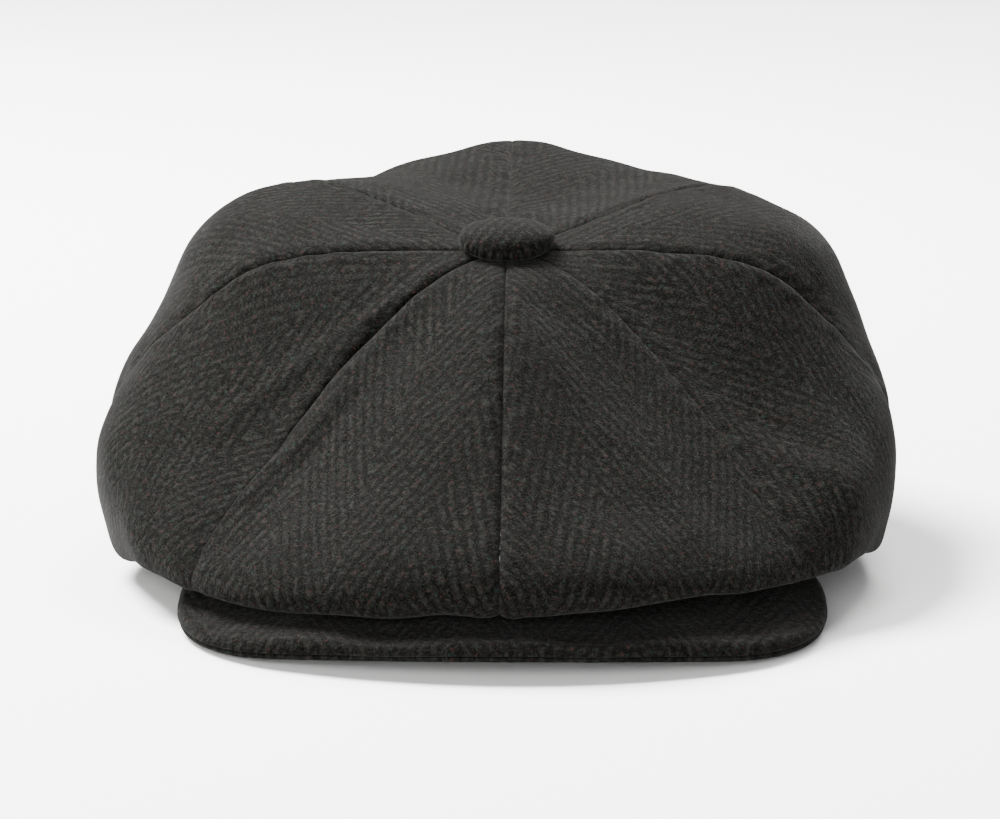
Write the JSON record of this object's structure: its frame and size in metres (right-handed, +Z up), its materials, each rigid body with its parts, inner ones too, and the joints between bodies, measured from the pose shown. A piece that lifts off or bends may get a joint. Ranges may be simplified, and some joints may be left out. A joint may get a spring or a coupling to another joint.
{
  "type": "newsboy cap",
  "caption": "Soft cloth cap with a full panelled crown, a short stiffened peak, a covered button on top and a lined head opening.",
  "frame": {"origin": "middle of the head opening, on the plane that the cap rests on", "axes": "+Z up, -Y forward over the peak, +X to the wearer's left"},
  "size_m": [0.264, 0.2892, 0.1174],
  "materials": {
    "tweed_cloth": "brushed wool herringbone tweed, matt",
    "lining_satin": "black satin lining",
    "sweatband_twill": "black cotton twill",
    "stay_tape": "woven stay tape",
    "peak_board": "plain sheet",
    "button_metal": "tinned steel",
    "thread": "polyester sewing thread",
    "label_tape": "woven tape, blank"
  },
  "bodies": {
    "root": {"crown_panel_front_left": "tweed_cloth", "crown_panel_front_side_left": "tweed_cloth", "crown_panel_back_side_left": "tweed_cloth", "crown_panel_back_left": "tweed_cloth", "crown_panel_back_right": "tweed_cloth", "crown_panel_back_side_right": "tweed_cloth", "crown_panel_front_side_right": "tweed_cloth", "crown_panel_front_right": "tweed_cloth", "lining_gore_front_left": "lining_satin", "lining_gore_front_side_left": "lining_satin", "lining_gore_back_side_left": "lining_satin", "lining_gore_back_left": "lining_satin", "lining_gore_back_right": "lining_satin", "lining_gore_back_side_right": "lining_satin", "lining_gore_front_side_right": "lining_satin", "lining_gore_front_right": "lining_satin", "sweatband": "sweatband_twill", "headsize_tape": "stay_tape", "button_stay_patch": "stay_tape", "crown_seam_stitching": "thread", "sweatband_stitching": "thread", "size_tab": "label_tape"},
    "peak": {"peak_board": "peak_board", "peak_top_cover": "tweed_cloth", "peak_under_cover": "tweed_cloth", "peak_edge_stitching": "thread"},
    "button": {"button_cover": "tweed_cloth", "button_shell": "button_metal", "button_back_plate": "button_metal", "button_eye": "button_metal", "button_thread": "thread"}
  },
  "joints": [
    {"name": "peak_tilt", "type": "hinge", "parent": "root", "child": "peak", "pos_m": [0, -0.043, 0.015], "axis": [1, 0, 0], "range_deg": [0, 6], "stiffness_Nm_per_rad": 0.6, "springref_deg": -1.72},
    {"name": "button_twist", "type": "hinge", "parent": "root", "child": "button", "pos_m": [0, -0.007, 0.1035], "axis": [0, -0.0785, 0.9969], "range_deg": [-20, 20], "stiffness_Nm_per_rad": 0.0005}
  ]
}
